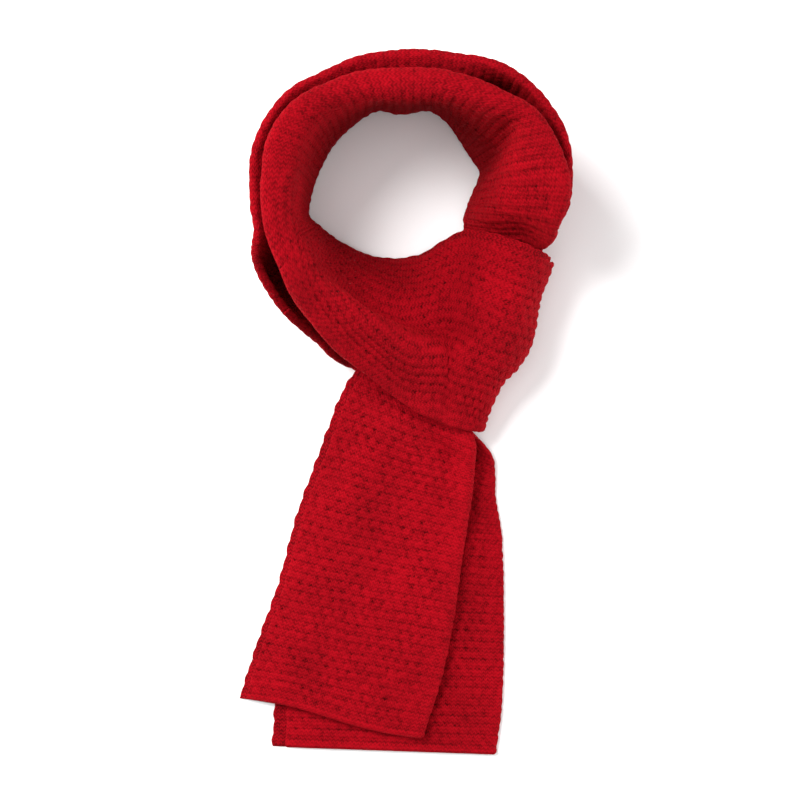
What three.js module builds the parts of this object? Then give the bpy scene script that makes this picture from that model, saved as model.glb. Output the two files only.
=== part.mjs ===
// Knit scarf, laid down the way a shop shows one: folded in half lengthwise and looped so that both
// tails pull through its own bight. One strip of cloth runs from the back tail's hem, through the knot,
// round the outside of the neck ring, flat under the knot, round the bight's turn, over the knot, round
// the inside of the neck ring, through the knot again and down the front tail.
// Millimetres, +Z up, lying on the plane z = 0.
import * as THREE from 'three';

const RADIANS = Math.PI / 180;
const RED_WOOL = 0xb3101c;

// The folded strip: two knitted layers that lie together, joined by a soft fold along one edge, with the
// two selvedges along the other.
const LAYER = 2.2;
const LAYER_GAP = 0.8;
const HALF_GAP = LAYER_GAP / 2;
const HALF_STRIP = LAYER + HALF_GAP;
const SLIT_DEPTH = 9;
const EDGE_ROUND = 0.7;
const SEAM = 0.3;

// How finely the strip is drawn.
const STEP_ALONG = 12;
const TURN_STEPS = 8;
const PROFILE_STEPS = 40;
const FLAT_COLUMNS = [0.09, 0.18, 0.27, 0.36, 0.45, 0.53, 0.6, 0.67, 0.74, 0.8, 0.86, 0.93, 1];
const FOLD_ANGLES = [30, 60, 90, 120, 150];
const LAYER_CORNERS = 4;
const FOLD_SWELL = 4;
const FADE_SECTIONS = 4;

// The middle of the strip's box goes to the origin in plan.
const CENTRE = { x: -0.25, y: -9.65 };

// Each row is one section across the strip, from its selvedges (the foot) to its fold.
// x, y, z: the foot. heading: the way to the fold in plan, 0 along +X and 90 along +Y.
// reach: plan distance from foot to fold. top: height of the fold. width: cloth from foot to fold, 0 for
// cloth that lies straight.
// ridge: cloth from the foot to the ridge or belly. side: 1 for a ridge on the upper or inner face,
// -1 for a belly on the lower or outer face. soft: cloth over which it bends, to each side of the ridge.
// fold: radius of the soft fold. inset: how far the layer on the strip's first face (its lower or outer
// face on the way up the back) stops short of the other, or the other way where negative.
const COLUMNS = ['x', 'y', 'z', 'heading', 'reach', 'top', 'width', 'ridge', 'side', 'soft', 'fold', 'inset'];

const TAIL_BACK = [
  [-92, -249, 2.5, -2, 161, 2.5, 0, 80, 1, 30, 2.8, -10],
  [-89.5, -212, 2.5, -2, 163, 2.5, 0, 80, 1, 30, 2.8, -9],
  [-83, -150, 2.5, -3, 158, 2.5, 0, 80, 1, 30, 2.8, -8],
  [-63, -88, 2.5, -5, 137, 2.5, 0, 72, 1, 30, 2.8, -7],
  [-48, -47, 2.5, -11, 119, 2.5, 0, 60, 1, 30, 2.8, -6],
  [-41, -22, 2.5, -17, 114.5, 3, 0, 55, 1, 25, 2.8, -6],
  [-36, -2, 4.6, -20, 108.5, 6.4, 0, 50, 1, 20, 2.8, -6],
  [-30, 17, 9, -21, 81, 10, 0, 48, 1, 20, 2.8, -6],
  [-11, 42, 9, -22, 76, 11, 0, 44, 1, 20, 2.8, -6],
];

const COLLAR_OUTER = [
  [12, 69, 9, -21, 72, 14, 0, 45, 1, 20, 2.8, -6],
  [30, 94, 9, -21, 61, 22, 63, 38, 1, 20, 2.8, -6],
  [42, 111, 8.2, -18, 55, 33, 61, 36, 1, 18, 2.8, -6],
  [52, 126, 4.5, -18, 50, 50, 74, 45, -1, 22, 2.8, -6],
  [58, 139, 1.5, -20, 53, 78, 100, 55, -1, 30, 2.8, -6],
  [61.5, 151, -0.4, -20, 54, 97, 118, 60, -1, 30, 2.8, -6],
  [60.5, 161, -0.4, -6, 52, 113, 129, 60, -1, 30, 3, -6],
  [59, 168, -0.4, 18, 48, 121, 134, 60, -1, 30, 3, -6],
  [52, 185, -0.4, 44, 38, 124, 134, 60, -1, 30, 3.2, -6],
  [37, 209, -0.4, 74, 18, 125, 130.6, 110.6, 1, 9, 3.4, -6],
  [17, 217.4, -0.4, 87, 12.2, 126, 134, 113, 1, 9, 3.4, -6],
  [-5, 217, -0.4, 95, 12, 126, 134.5, 113.5, 1, 9, 3.4, -6],
  [-27, 214.4, -0.4, 107, 10.5, 126, 134.6, 113.6, 1, 9, 3.4, -6],
  [-44, 202, -0.4, 124, 15, 126, 134.5, 113.5, 1, 9, 3.2, -6],
  [-55, 188, -0.4, 146, 23.5, 126, 134.1, 113.1, 1, 9, 3, -6],
  [-66, 172, -0.4, 158, 25, 126, 133.7, 112.7, 1, 9, 3, -6],
  [-74, 158, -0.4, 170, 23, 126, 133.6, 112.6, 1, 9, 3, -6],
  [-78, 147, -0.4, 181, 20, 126, 133.1, 113.1, 1, 9, 3, -6],
  [-79, 131, -0.4, 191, 19, 126, 132.3, 113.3, 1, 9, 3, -6],
  [-75, 119, -0.4, 205, 22.5, 122, 127.3, 110.3, 1, 9, 3, -6],
  [-68, 113, -0.4, 221, 35, 112, 126, 55, -1, 30, 3, -6],
  [-60, 108.5, 0.3, 231, 43.5, 97, 117, 55, -1, 30, 3, -6],
];

const KNOT_BACK = [
  [-52, 103, 1.1, 239, 49.5, 80, 104, 60, -1, 30, 3, -6],
  [-44, 99.5, 2, 246, 54.5, 60, 91, 60, -1, 30, 3, -5],
  [-35, 96, 2.5, 250, 60.5, 38, 78, 50, -1, 24, 3, -4],
  [-11, 94, 2.5, 252.5, 75.5, 3.4, 0, 58, -1, 24, 2.8, -3],
  [28, 96, 2.5, 253, 100, 2.5, 0, 66, -1, 30, 2.8, -2],
  [62, 101, 2.5, 254, 118, 2.5, 0, 66, 1, 30, 2.8, -1],
  [84, 107.5, 2.5, 254.4, 134, 2.5, 0, 66, 1, 30, 2.8, 0],
];

const KNOT_FRONT = [
  [84, 107.5, 70, 254.4, 134, 28, 143, 76, 1, 26, 3.4, 5],
  [70, 114, 55, 256.6, 137, 30, 143, 78, 1, 22, 3.6, 6],
  [44.5, 120.5, 25, 261.7, 136, 33, 143, 86, 1, 16, 3.8, 7],
  [13, 105, 4.5, 263.7, 107, 37, 139, 87, 1, 13, 4, 7],
  [-16, 103.8, -0.4, 263.5, 85, 56, 141, 96, 1, 12, 4.4, 7],
  [-44.5, 114.3, -0.4, 254, 63, 94, 144, 111, 1, 12, 4.8, 7],
];

const COLLAR_INNER = [
  [-59.3, 124.7, -0.4, 242, 43.5, 122, 148, 126, 1, 13, 5, 6],
  [-67, 132, -0.4, 218, 28.5, 130, 149, 131, 1, 12, 5, 6],
  [-65.2, 148, -0.4, 184, 25.5, 134, 150, 132, 1, 12, 5, 6],
  [-58.8, 166, -0.4, 172, 28.5, 134, 150, 132, 1, 12, 5, 6],
  [-48.5, 184.5, -0.4, 160, 25, 134, 150, 133, 1, 12, 5, 6],
  [-34, 199.5, -0.4, 138, 13.5, 134, 150, 134, 1, 12, 5.5, 6],
  [-17.5, 210, -0.4, 112, 6, 134, 150, 134, 1, 12, 6, 6],
  [1.3, 207.5, -0.4, 92, 9, 134, 150, 134, 1, 12, 6, 6],
  [21, 210, -0.4, 78, 6.5, 134, 150, 134, 1, 12, 6, 6],
  [34, 202, -0.4, 52, 13, 134, 150, 133, 1, 12, 5.5, 6],
  [43, 189, -0.4, 30, 27, 134, 150, 131, 1, 12, 5, 6],
  [48.5, 178, -0.4, 15, 42, 133, 149, 130, 1, 14, 4.6, 6],
  [51, 168, -0.4, 6, 50, 132, 148, 126, 1, 16, 4.2, 6],
  [55.2, 150, -0.4, -3, 55.5, 128, 146, 110, 1, 20, 3.8, 6],
  [53, 139, -0.4, -8, 59, 115, 138, 90, 1, 24, 3.4, 6],
  [47.5, 129.5, 1.5, -15, 61, 90, 116, 70, 1, 28, 3.2, 6],
  [43, 117, 10.5, -17, 55.5, 48, 69.5, 46, 1, 20, 3, 6],
  [31, 98, 15, -18, 61, 34, 66, 40, 1, 18, 3, 6],
];

const TAIL_FRONT = [
  [12, 73, 15.2, -21, 72, 22, 74, 44, 1, 20, 3, 6],
  [-11, 46, 15.2, -23, 77, 17.4, 0, 48, 1, 20, 3, 6],
  [-32, 20.5, 15.2, -23, 90, 16.6, 0, 50, 1, 20, 3.2, 6],
  [-42.5, 3.6, 12, -21, 103, 15.4, 104, 50, 1, 20, 3.6, 6],
  [-51, -18, 8.4, -17.2, 109, 12, 109.6, 45, 1, 15, 4, 6],
  [-60.5, -43.5, 5.2, -14.1, 115, 11, 115.8, 26, 1, 12, 4.2, 6],
  [-75, -83.5, 3.4, -12.5, 123, 10.8, 124.2, 20, 1, 9, 4.4, 6],
  [-88, -131.8, 2.6, -11.2, 129, 10.8, 130.4, 24, 1, 10, 4.5, 6],
  [-102.5, -172.5, 2.5, -11, 135, 10.8, 136.4, 24, 1, 10, 4.5, 6],
  [-116, -214.5, 2.5, -11.5, 135, 10.8, 136.5, 24, 1, 10, 4.4, 6],
];

// The bight's turn at the right of the knot: how far out it reaches in plan, from the foot to the fold.
const TURN_COLUMNS = ['x', 'y'];
const TURN_OUTLINE = [
  [106.2, 99],
  [102, 86.5],
  [97.2, 74],
  [94.4, 62],
  [92.6, 48],
  [88.6, 35],
  [81, 23.5],
  [71.5, 14],
  [64.5, 0],
  [59.5, -13],
  [57.4, -21.5],
];

// Soft ridges and, where height is negative, troughs of a stretch. x, y: the middle in plan.
// bearing: which way it runs. length and breadth: how far it reaches along and across before it fades.
const CREASE_COLUMNS = ['stretch', 'x', 'y', 'bearing', 'length', 'breadth', 'height'];
const CREASES = [
  ['knot_front', -34, 80, -38, 34, 9, -8],
  ['knot_front', 4, 58, -26, 34, 9, -10],
  ['knot_front', 46, 48, -12, 30, 9, -6],
  ['knot_front', -26, 62, -36, 30, 10, 3],
  ['knot_front', 14, 41, -26, 32, 11, 3.5],
  ['knot_front', 66, 66, -24, 30, 12, 3],
  ['knot_front', 22, 22, -28, 40, 12, 2.5],
  ['collar_inner', 84, 114, -30, 16, 9, -5],
  ['collar_inner', 60, 168, 40, 26, 9, -6],
  ['collar_inner', 66, 146, 40, 26, 10, 5],
  ['collar_outer', -80, 178, -120, 30, 10, 2.5],
  ['tail_front', 52, -58, -96, 60, 11, 4.5],
  ['tail_front', 31, -33, -42, 22, 8, -2.5],
  ['tail_front', 52, -32, -50, 22, 8, 4],
  ['tail_front', 12, -36, -52, 30, 11, 5],
  ['tail_front', -30, -70, -104, 60, 16, 2.5],
  ['tail_front', 6, -150, -80, 70, 18, 2],
];

function namedRows(columns, rows) {
  return rows.map((row) => Object.fromEntries(columns.map((column, i) => [column, row[i]])));
}

function smooth(value) {
  const x = Math.min(1, Math.max(0, value));
  return x * x * (3 - 2 * x);
}

function mix(a, b, share) {
  return a + (b - a) * share;
}

// Lean of the cloth above the horizontal at even steps from foot to fold: two legs that meet at the
// ridge, from the triangle of foot, ridge and fold, then turned and scaled so that the fold is met.
function solveProfile(row) {
  const rise = row.top - row.z;
  const chord = Math.hypot(row.reach, rise);
  const chordAngle = Math.atan2(rise, row.reach);
  const width = Math.max(row.width, chord);
  const lower = row.ridge;
  const upper = width - row.ridge;
  const atFoot = Math.acos(cosineRule(lower, chord, upper));
  const atFold = Math.acos(cosineRule(upper, chord, lower));
  const first = chordAngle + row.side * atFoot;
  const last = chordAngle - row.side * atFold;
  const leans = [];
  for (let i = 0; i < PROFILE_STEPS; i += 1) {
    const along = ((i + 0.5) / PROFILE_STEPS) * width;
    leans.push(mix(first, last, smooth((along - row.ridge + row.soft) / (2 * row.soft))));
  }
  const end = profilePoints(leans, width)[PROFILE_STEPS];
  const turn = chordAngle - Math.atan2(end.rise, end.out);
  return {
    leans: leans.map((lean) => lean + turn),
    width: (width * chord) / Math.hypot(end.out, end.rise),
  };
}

function cosineRule(a, b, opposite) {
  return Math.min(1, Math.max(-1, (a * a + b * b - opposite * opposite) / (2 * a * b)));
}

function profilePoints(leans, width) {
  const step = width / leans.length;
  const points = [{ out: 0, rise: 0 }];
  for (const lean of leans) {
    const from = points[points.length - 1];
    points.push({ out: from.out + step * Math.cos(lean), rise: from.rise + step * Math.sin(lean) });
  }
  return points;
}

// One section as numbers that can be blended with its neighbours.
function sectionNumbers(row) {
  const profile = solveProfile(row);
  return [row.x, row.y, row.z, row.heading * RADIANS, profile.width, row.fold, row.inset, ...profile.leans];
}

// A section placed in space: its points from foot to fold at even steps of cloth.
function placeSection(numbers) {
  const [x, y, z, heading, width, fold, inset, ...leans] = numbers;
  const points = profilePoints(leans, width).map(
    ({ out, rise }) => new THREE.Vector3(x + out * Math.cos(heading), y + out * Math.sin(heading), z + rise),
  );
  return { points, width, fold, inset };
}

// Smooth sections through the rows, about STEP_ALONG apart at the middle of the strip.
function sectionsThrough(rows) {
  const knots = rows.map(sectionNumbers);
  const middles = knots.map((numbers) => placeSection(numbers).points[PROFILE_STEPS / 2]);
  const at = [0];
  for (let i = 1; i < rows.length; i += 1) {
    at.push(at[i - 1] + middles[i].distanceTo(middles[i - 1]));
  }
  const slope = (k, i) => {
    const before = Math.max(0, k - 1);
    const after = Math.min(rows.length - 1, k + 1);
    return (knots[after][i] - knots[before][i]) / (at[after] - at[before]);
  };
  const sections = [];
  const rowAt = [];
  for (let k = 0; k + 1 < rows.length; k += 1) {
    const span = at[k + 1] - at[k];
    const steps = Math.max(1, Math.round(span / STEP_ALONG));
    rowAt.push(sections.length);
    for (let step = 0; step < steps; step += 1) {
      const u = step / steps;
      sections.push(
        placeSection(
          knots[k].map((value, i) => {
            const toNext = knots[k + 1][i];
            return (
              value * (1 + 2 * u) * (1 - u) * (1 - u) +
              toNext * u * u * (3 - 2 * u) +
              span * (slope(k, i) * u * (1 - u) * (1 - u) - slope(k + 1, i) * u * u * (1 - u))
            );
          }),
        ),
      );
    }
  }
  rowAt.push(sections.length);
  sections.push(placeSection(knots[knots.length - 1]));
  return { sections, rowAt };
}

// The turn: each point goes out and over in half an ellipse, from the lower band to the upper one.
function turnSections(lower, upper) {
  const outline = new THREE.CatmullRomCurve3(
    namedRows(TURN_COLUMNS, TURN_OUTLINE).map(({ x, y }) => new THREE.Vector3(x, y, 0)),
    false,
    'centripetal',
  );
  const reach = lower.points.map((point, j) => {
    const middle = point.clone().lerp(upper.points[j], 0.5).setZ(0);
    return outline.getPoint(j / PROFILE_STEPS).sub(middle);
  });
  const sections = [];
  for (let step = 1; step < TURN_STEPS; step += 1) {
    const angle = (Math.PI * step) / TURN_STEPS;
    const share = (1 - Math.cos(angle)) / 2;
    sections.push({
      points: lower.points.map((point, j) =>
        point.clone().lerp(upper.points[j], share).addScaledVector(reach[j], Math.sin(angle)),
      ),
      width: mix(lower.width, upper.width, share),
      fold: mix(lower.fold, upper.fold, share),
      inset: mix(lower.inset, upper.inset, share),
    });
  }
  return sections;
}

// Moves the strip's middle surface square to itself by the creases of one stretch, fading at its ends.
function crease(sections, from, to, rows) {
  const moved = [];
  for (let i = from + 1; i < to; i += 1) {
    const fade = smooth((i - from) / FADE_SECTIONS) * smooth((to - i) / FADE_SECTIONS);
    sections[i].points.forEach((point, j) => {
      const frame = frameAcross(sections, i, (j / PROFILE_STEPS) * sections[i].width);
      let lift = 0;
      for (const row of rows) {
        const bearing = row.bearing * RADIANS;
        const dx = point.x - row.x;
        const dy = point.y - row.y;
        const along = (dx * Math.cos(bearing) + dy * Math.sin(bearing)) / row.length;
        const across = (dy * Math.cos(bearing) - dx * Math.sin(bearing)) / row.breadth;
        lift += row.height * Math.exp(-along * along - across * across);
      }
      moved.push({ point, by: frame.normal.multiplyScalar(lift * fade) });
    });
  }
  for (const { point, by } of moved) {
    point.add(by);
  }
}

// The whole strip, with the index of the section where each stretch begins.
function layStrip() {
  const back = sectionsThrough(namedRows(COLUMNS, [...TAIL_BACK, ...COLLAR_OUTER, ...KNOT_BACK]));
  const front = sectionsThrough(namedRows(COLUMNS, [...KNOT_FRONT, ...COLLAR_INNER, ...TAIL_FRONT]));
  const turn = turnSections(back.sections[back.sections.length - 1], front.sections[0]);
  const sections = [...back.sections, ...turn, ...front.sections];
  const frontStart = back.sections.length + turn.length;
  const starts = {
    tail_back: 0,
    collar_outer: back.rowAt[TAIL_BACK.length],
    knot_back: back.rowAt[TAIL_BACK.length + COLLAR_OUTER.length],
    knot_turn: back.sections.length - 1,
    knot_front: frontStart,
    collar_inner: frontStart + front.rowAt[KNOT_FRONT.length],
    tail_front: frontStart + front.rowAt[KNOT_FRONT.length + COLLAR_INNER.length],
    end: sections.length - 1,
  };
  const stretches = Object.keys(starts);
  const creases = namedRows(CREASE_COLUMNS, CREASES);
  for (let i = 0; i + 1 < stretches.length; i += 1) {
    const rows = creases.filter((row) => row.stretch === stretches[i]);
    crease(sections, starts[stretches[i]], starts[stretches[i + 1]], rows);
  }
  return { sections, starts };
}

// The point of a section at a distance along the cloth from its foot.
function pointAcross(section, distance) {
  const place = Math.min(1, Math.max(0, distance / section.width)) * PROFILE_STEPS;
  const j = Math.min(PROFILE_STEPS - 1, Math.floor(place));
  return section.points[j].clone().lerp(section.points[j + 1], place - j);
}

// Position, face normal and the way to the fold at a distance from the foot, on section i.
function frameAcross(sections, i, distance) {
  const section = sections[i];
  const share = distance / section.width;
  const before = sections[Math.max(0, i - 1)];
  const after = sections[Math.min(sections.length - 1, i + 1)];
  const along = pointAcross(after, share * after.width).sub(pointAcross(before, share * before.width));
  const reach = section.width / PROFILE_STEPS;
  const across = pointAcross(section, distance + reach).sub(pointAcross(section, distance - reach)).normalize();
  const normal = along.clone().cross(across).normalize();
  return { at: pointAcross(section, distance), along: along.normalize(), normal, across };
}

// Outline of the strip's section i: down one layer's selvedge, along that face, round the fold and back
// along the other face, so that point k and the point as far from the end lie on opposite layers.
// onward moves it along the strip.
function outlineAt(sections, i, shift, onward) {
  const section = sections[i];
  const place = (frame, outwards, through) => {
    const point = frame.at.clone().add(shift).addScaledVector(frame.along, onward);
    point.addScaledVector(frame.across, outwards).addScaledVector(frame.normal, through);
    point.z = Math.max(0, point.z);
    return point;
  };
  const corner = (distance, through) => place(frameAcross(sections, i, distance), 0, through);
  const toCentre = section.width - section.fold;
  const halfAt = (distance) => {
    const swellWidth = FOLD_SWELL * section.fold;
    return mix(HALF_STRIP, section.fold, smooth((distance - toCentre + swellWidth) / swellWidth));
  };
  const firstEdge = Math.max(0, section.inset);
  const secondEdge = Math.max(0, -section.inset);
  const slit = SLIT_DEPTH + Math.max(firstEdge, secondEdge);
  const columns = FLAT_COLUMNS.map((share) => mix(slit, toCentre, share));
  const layer = (edge, side) => [
    corner(slit, side * HALF_GAP),
    corner(edge, side * HALF_GAP),
    corner(edge, side * (HALF_STRIP - EDGE_ROUND)),
    corner(edge + EDGE_ROUND, side * HALF_STRIP),
    corner(slit, side * HALF_STRIP),
    ...columns.map((distance) => corner(distance, side * halfAt(distance))),
  ];
  const centre = frameAcross(sections, i, toCentre);
  const foldCorners = FOLD_ANGLES.map((angle) =>
    place(centre, section.fold * Math.sin(angle * RADIANS), section.fold * Math.cos(angle * RADIANS)),
  );
  return [...layer(firstEdge, 1), ...foldCorners, ...layer(secondEdge, -1).reverse()];
}

// Faces that close an end: rungs between the opposite points of the two layers, with the slit left open.
function capFaces(size) {
  const opposite = (k) => size - 1 - k;
  const faces = [];
  for (let k = 1; k < LAYER_CORNERS; k += 1) {
    faces.push([0, k, k + 1], [opposite(0), opposite(k + 1), opposite(k)]);
  }
  faces.push([0, LAYER_CORNERS, opposite(LAYER_CORNERS)], [0, opposite(LAYER_CORNERS), opposite(0)]);
  const apex = (size - 1) / 2;
  for (let k = LAYER_CORNERS; k + 1 < apex; k += 1) {
    faces.push([k, k + 1, opposite(k + 1)], [k, opposite(k + 1), opposite(k)]);
  }
  faces.push([apex - 1, apex, apex + 1]);
  return faces;
}

function closedSweep(outlines) {
  const size = outlines[0].length;
  const positions = outlines.flatMap((outline) => outline.flatMap((point) => point.toArray()));
  const faces = [];
  for (let i = 0; i + 1 < outlines.length; i += 1) {
    for (let j = 0; j < size; j += 1) {
      const next = (j + 1) % size;
      const a = i * size + j;
      const b = i * size + next;
      const c = (i + 1) * size + next;
      const d = (i + 1) * size + j;
      faces.push(a, c, b, a, d, c);
    }
  }
  const last = (outlines.length - 1) * size;
  for (const [a, b, c] of capFaces(size)) {
    faces.push(a, b, c, last + a, last + c, last + b);
  }
  const geometry = new THREE.BufferGeometry();
  geometry.setAttribute('position', new THREE.Float32BufferAttribute(positions, 3));
  geometry.setIndex(faces);
  geometry.computeVertexNormals();
  return geometry;
}

// The solid of one stretch, half a seam short of each neighbour.
function stretchSolid(sections, from, to) {
  const centring = new THREE.Vector3(-CENTRE.x, -CENTRE.y, 0);
  const outlines = [];
  for (let i = from; i <= to; i += 1) {
    const afterSeam = i === from && from > 0 ? SEAM / 2 : 0;
    const beforeSeam = i === to && to < sections.length - 1 ? SEAM / 2 : 0;
    outlines.push(outlineAt(sections, i, centring, afterSeam - beforeSeam));
  }
  return closedSweep(outlines);
}

const scarf = new THREE.Group();
const { sections, starts } = layStrip();
const names = Object.keys(starts);
for (let i = 0; i + 1 < names.length; i += 1) {
  const wool = new THREE.MeshStandardMaterial({ color: RED_WOOL, roughness: 0.95, metalness: 0 });
  const mesh = new THREE.Mesh(stretchSolid(sections, starts[names[i]], starts[names[i + 1]]), wool);
  mesh.name = names[i];
  scarf.add(mesh);
}

export default scarf;
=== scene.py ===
"""Knit scarf, folded in half lengthwise and laid in a pull-through loop on a pale floor, seen from above.

One strip of brushed wool knit, 300 mm wide, is folded along its middle into two layers. It runs from the
back tail's hem, through the knot, round the outside of the neck ring, flat under the knot, round the bight's
turn, over the knot, round the inside of the neck ring, through the knot again and down the front tail.
Tables are in millimetres from the middle of the photograph's frame, meshes in metres in the part's frame.
"""

import logging
import math
from dataclasses import dataclass, field
from enum import Enum

import bpy
import numpy as np
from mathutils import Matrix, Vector

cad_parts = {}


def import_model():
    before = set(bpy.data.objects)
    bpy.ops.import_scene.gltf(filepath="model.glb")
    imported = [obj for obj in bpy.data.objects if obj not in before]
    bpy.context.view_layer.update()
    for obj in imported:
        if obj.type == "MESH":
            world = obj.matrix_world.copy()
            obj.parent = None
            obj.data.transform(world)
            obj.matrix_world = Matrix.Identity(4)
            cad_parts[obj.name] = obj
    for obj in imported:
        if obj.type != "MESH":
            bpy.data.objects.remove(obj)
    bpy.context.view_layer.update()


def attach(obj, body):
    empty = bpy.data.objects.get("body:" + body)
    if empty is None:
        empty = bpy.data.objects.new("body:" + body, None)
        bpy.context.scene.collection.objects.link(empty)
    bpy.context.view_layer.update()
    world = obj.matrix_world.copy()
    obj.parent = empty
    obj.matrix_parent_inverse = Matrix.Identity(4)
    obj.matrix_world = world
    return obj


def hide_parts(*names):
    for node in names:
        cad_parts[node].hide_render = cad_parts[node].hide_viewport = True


log = logging.getLogger("scarf")

MM = 0.001


class Stretch(Enum):
    """The stretches of the strip, in order, each named as its solid."""

    TAIL_BACK = "tail_back"
    COLLAR_OUTER = "collar_outer"
    KNOT_BACK = "knot_back"
    KNOT_TURN = "knot_turn"
    KNOT_FRONT = "knot_front"
    COLLAR_INNER = "collar_inner"
    TAIL_FRONT = "tail_front"


class Lie(Enum):
    """How a stretch of cloth is held, in the frame's words."""

    LAID = "laid"
    FOLDED = "folded"


@dataclass(frozen=True)
class Section:
    """One section across the strip, from its selvedges (the foot) to its fold, in millimetres and degrees.

    Args:
        x, y, z: the foot.
        heading: the way to the fold in plan.
        reach: plan distance from foot to fold.
        top: height of the fold.
        width: cloth from foot to fold, 0 for cloth that lies straight.
        ridge: cloth from the foot to the ridge or belly.
        side: 1 for a ridge on the upper or inner face, -1 for a belly on the lower or outer face.
        soft: cloth over which it bends, to each side of the ridge.
        fold: radius of the soft fold.
        inset: how far the first layer stops short of the second, or the other way where negative.
    """

    x: float
    y: float
    z: float
    heading: float
    reach: float
    top: float
    width: float
    ridge: float
    side: int
    soft: float
    fold: float
    inset: float


@dataclass(frozen=True)
class Crease:
    """A soft ridge, or a trough where height is negative, in millimetres and degrees.

    Args:
        stretch: the stretch that has it.
        x, y: its middle in plan.
        bearing: which way it runs in plan.
        length: how far it reaches along before it fades.
        breadth: how far it reaches across before it fades.
        height: how far it lifts the cloth.
    """

    stretch: Stretch
    x: float
    y: float
    bearing: float
    length: float
    breadth: float
    height: float


# The tables' place that goes to the part's origin, near the middle of the strip's box in plan.
CENTRE = (-0.25, -9.65, 0.0)

TAIL_BACK = (
    Section(-92, -249, 2.5, -2, 161, 2.5, 0, 80, 1, 30, 2.8, -10),
    Section(-89.5, -212, 2.5, -2, 163, 2.5, 0, 80, 1, 30, 2.8, -9),
    Section(-83, -150, 2.5, -3, 158, 2.5, 0, 80, 1, 30, 2.8, -8),
    Section(-63, -88, 2.5, -5, 137, 2.5, 0, 72, 1, 30, 2.8, -7),
    Section(-48, -47, 2.5, -11, 119, 2.5, 0, 60, 1, 30, 2.8, -6),
    Section(-41, -22, 2.5, -17, 114.5, 3, 0, 55, 1, 25, 2.8, -6),
    Section(-36, -2, 4.6, -20, 108.5, 6.4, 0, 50, 1, 20, 2.8, -6),
    Section(-30, 17, 9, -21, 81, 10, 0, 48, 1, 20, 2.8, -6),
    Section(-11, 42, 9, -22, 76, 11, 0, 44, 1, 20, 2.8, -6),
)

COLLAR_OUTER = (
    Section(12, 69, 9, -21, 72, 14, 0, 45, 1, 20, 2.8, -6),
    Section(30, 94, 9, -21, 61, 22, 63, 38, 1, 20, 2.8, -6),
    Section(42, 111, 8.2, -18, 55, 33, 61, 36, 1, 18, 2.8, -6),
    Section(52, 126, 4.5, -18, 50, 50, 74, 45, -1, 22, 2.8, -6),
    Section(58, 139, 1.5, -20, 53, 78, 100, 55, -1, 30, 2.8, -6),
    Section(61.5, 151, -0.4, -20, 54, 97, 118, 60, -1, 30, 2.8, -6),
    Section(60.5, 161, -0.4, -6, 52, 113, 129, 60, -1, 30, 3, -6),
    Section(59, 168, -0.4, 18, 48, 121, 134, 60, -1, 30, 3, -6),
    Section(52, 185, -0.4, 44, 38, 124, 134, 60, -1, 30, 3.2, -6),
    Section(37, 209, -0.4, 74, 18, 125, 130.6, 110.6, 1, 9, 3.4, -6),
    Section(17, 217.4, -0.4, 87, 12.2, 126, 134, 113, 1, 9, 3.4, -6),
    Section(-5, 217, -0.4, 95, 12, 126, 134.5, 113.5, 1, 9, 3.4, -6),
    Section(-27, 214.4, -0.4, 107, 10.5, 126, 134.6, 113.6, 1, 9, 3.4, -6),
    Section(-44, 202, -0.4, 124, 15, 126, 134.5, 113.5, 1, 9, 3.2, -6),
    Section(-55, 188, -0.4, 146, 23.5, 126, 134.1, 113.1, 1, 9, 3, -6),
    Section(-66, 172, -0.4, 158, 25, 126, 133.7, 112.7, 1, 9, 3, -6),
    Section(-74, 158, -0.4, 170, 23, 126, 133.6, 112.6, 1, 9, 3, -6),
    Section(-78, 147, -0.4, 181, 20, 126, 133.1, 113.1, 1, 9, 3, -6),
    Section(-79, 131, -0.4, 191, 19, 126, 132.3, 113.3, 1, 9, 3, -6),
    Section(-75, 119, -0.4, 205, 22.5, 122, 127.3, 110.3, 1, 9, 3, -6),
    Section(-68, 113, -0.4, 221, 35, 112, 126, 55, -1, 30, 3, -6),
    Section(-60, 108.5, 0.3, 231, 43.5, 97, 117, 55, -1, 30, 3, -6),
)

KNOT_BACK = (
    Section(-52, 103, 1.1, 239, 49.5, 80, 104, 60, -1, 30, 3, -6),
    Section(-44, 99.5, 2, 246, 54.5, 60, 91, 60, -1, 30, 3, -5),
    Section(-35, 96, 2.5, 250, 60.5, 38, 78, 50, -1, 24, 3, -4),
    Section(-11, 94, 2.5, 252.5, 75.5, 3.4, 0, 58, -1, 24, 2.8, -3),
    Section(28, 96, 2.5, 253, 100, 2.5, 0, 66, -1, 30, 2.8, -2),
    Section(62, 101, 2.5, 254, 118, 2.5, 0, 66, 1, 30, 2.8, -1),
    Section(84, 107.5, 2.5, 254.4, 134, 2.5, 0, 66, 1, 30, 2.8, 0),
)

KNOT_FRONT = (
    Section(84, 107.5, 70, 254.4, 134, 28, 143, 76, 1, 26, 3.4, 5),
    Section(70, 114, 55, 256.6, 137, 30, 143, 78, 1, 22, 3.6, 6),
    Section(44.5, 120.5, 25, 261.7, 136, 33, 143, 86, 1, 16, 3.8, 7),
    Section(13, 105, 4.5, 263.7, 107, 37, 139, 87, 1, 13, 4, 7),
    Section(-16, 103.8, -0.4, 263.5, 85, 56, 141, 96, 1, 12, 4.4, 7),
    Section(-44.5, 114.3, -0.4, 254, 63, 94, 144, 111, 1, 12, 4.8, 7),
)

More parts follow.
